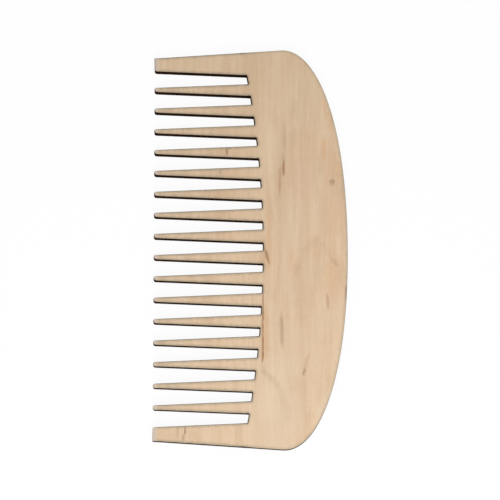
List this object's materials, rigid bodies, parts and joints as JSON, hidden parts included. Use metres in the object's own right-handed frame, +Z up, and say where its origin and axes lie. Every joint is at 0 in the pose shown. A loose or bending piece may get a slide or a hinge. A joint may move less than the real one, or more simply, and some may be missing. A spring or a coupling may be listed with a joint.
{
  "type": "comb",
  "caption": "Flat wide-tooth hair comb cut from three-ply birch plywood, with round-tipped tapering teeth, a wide tooth at each end and a curved grip along one side.",
  "frame": {"origin": "centre of the comb's box, on the back face that it lies on", "axes": "+Y along the comb's length, +X across it from the tooth tips to the grip's rim, +Z up out of the front face"},
  "size_m": [0.0636, 0.1324, 0.003],
  "materials": {
    "face_birch": "bare sanded rotary-cut birch, matt, with the grain along the comb and dark charred cut walls",
    "core_birch": "bare birch core veneer with its grain across the comb, seen only as a charred cut wall",
    "cured_resin": "dark cured resin, seen only as a thin line in the cut wall"
  },
  "bodies": {
    "root": {"back_veneer": "face_birch", "back_glue_line": "cured_resin", "core_veneer": "core_birch", "front_glue_line": "cured_resin", "front_veneer": "face_birch"}
  },
  "joints": []
}
